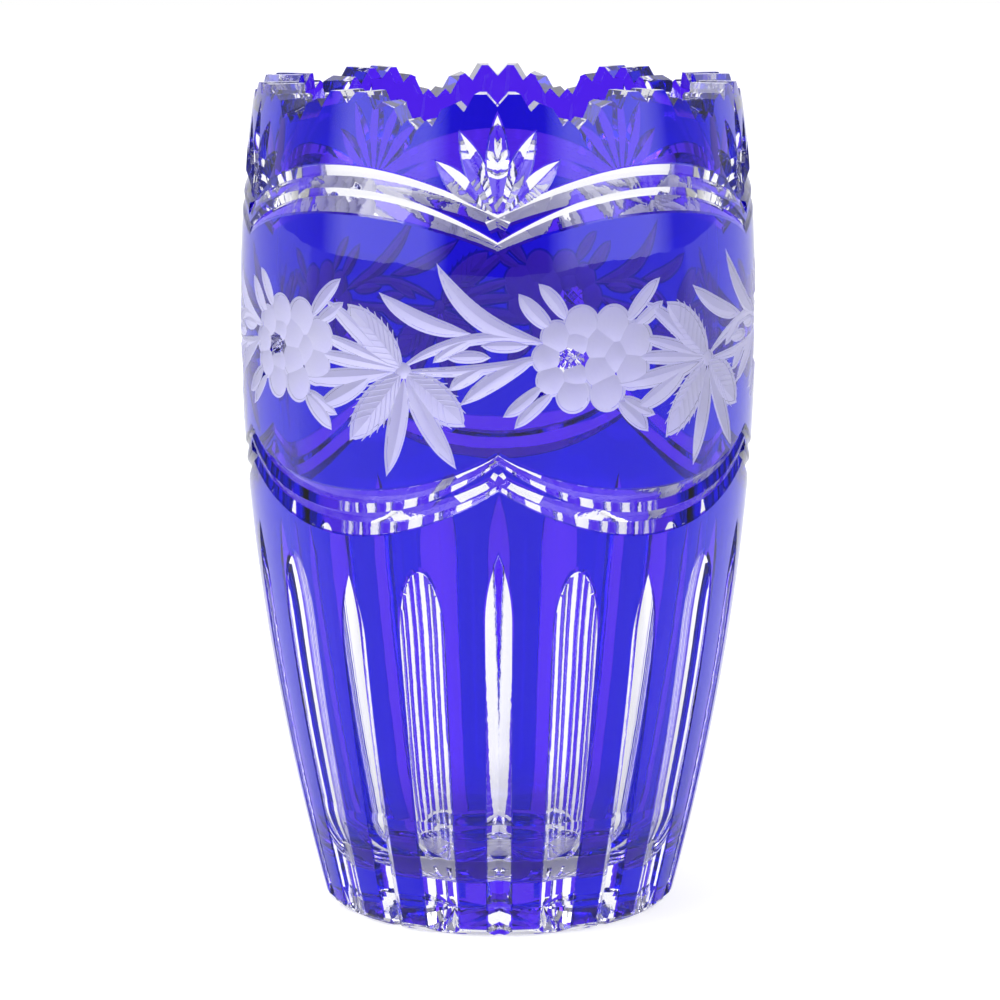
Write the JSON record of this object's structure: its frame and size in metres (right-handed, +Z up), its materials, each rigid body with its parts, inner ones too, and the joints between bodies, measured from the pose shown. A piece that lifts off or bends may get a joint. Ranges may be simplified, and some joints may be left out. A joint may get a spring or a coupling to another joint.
{
  "type": "cut crystal vase",
  "caption": "Tapering cased crystal vase with a toothed scalloped rim, fan and swag cuts, an engraved flower garland and tapering flutes.",
  "frame": {"origin": "centre of the foot, on the plane the vase stands on", "axes": "+Z up along the vase's axis; the front cusp of the swags faces -Y; +X to the right seen from the front"},
  "size_m": [0.1551, 0.1552, 0.25],
  "materials": {
    "crystal": "polished and wheel-cut clear lead crystal",
    "cobalt": "polished cobalt-blue casing glass"
  },
  "bodies": {
    "root": {"crystal_body": "crystal", "cobalt_collar": "cobalt", "cobalt_band_upper": "cobalt", "cobalt_band_lower": "cobalt", "garland_islets_1": "cobalt", "garland_islets_2": "cobalt", "garland_islets_3": "cobalt", "garland_islets_4": "cobalt", "garland_islets_5": "cobalt", "cobalt_skirt": "cobalt", "upper_lozenge_1": "cobalt", "upper_lozenge_2": "cobalt", "upper_lozenge_3": "cobalt", "upper_lozenge_4": "cobalt", "upper_lozenge_5": "cobalt", "lower_lozenge_1": "cobalt", "lower_lozenge_2": "cobalt", "lower_lozenge_3": "cobalt", "lower_lozenge_4": "cobalt", "lower_lozenge_5": "cobalt"}
  },
  "joints": []
}
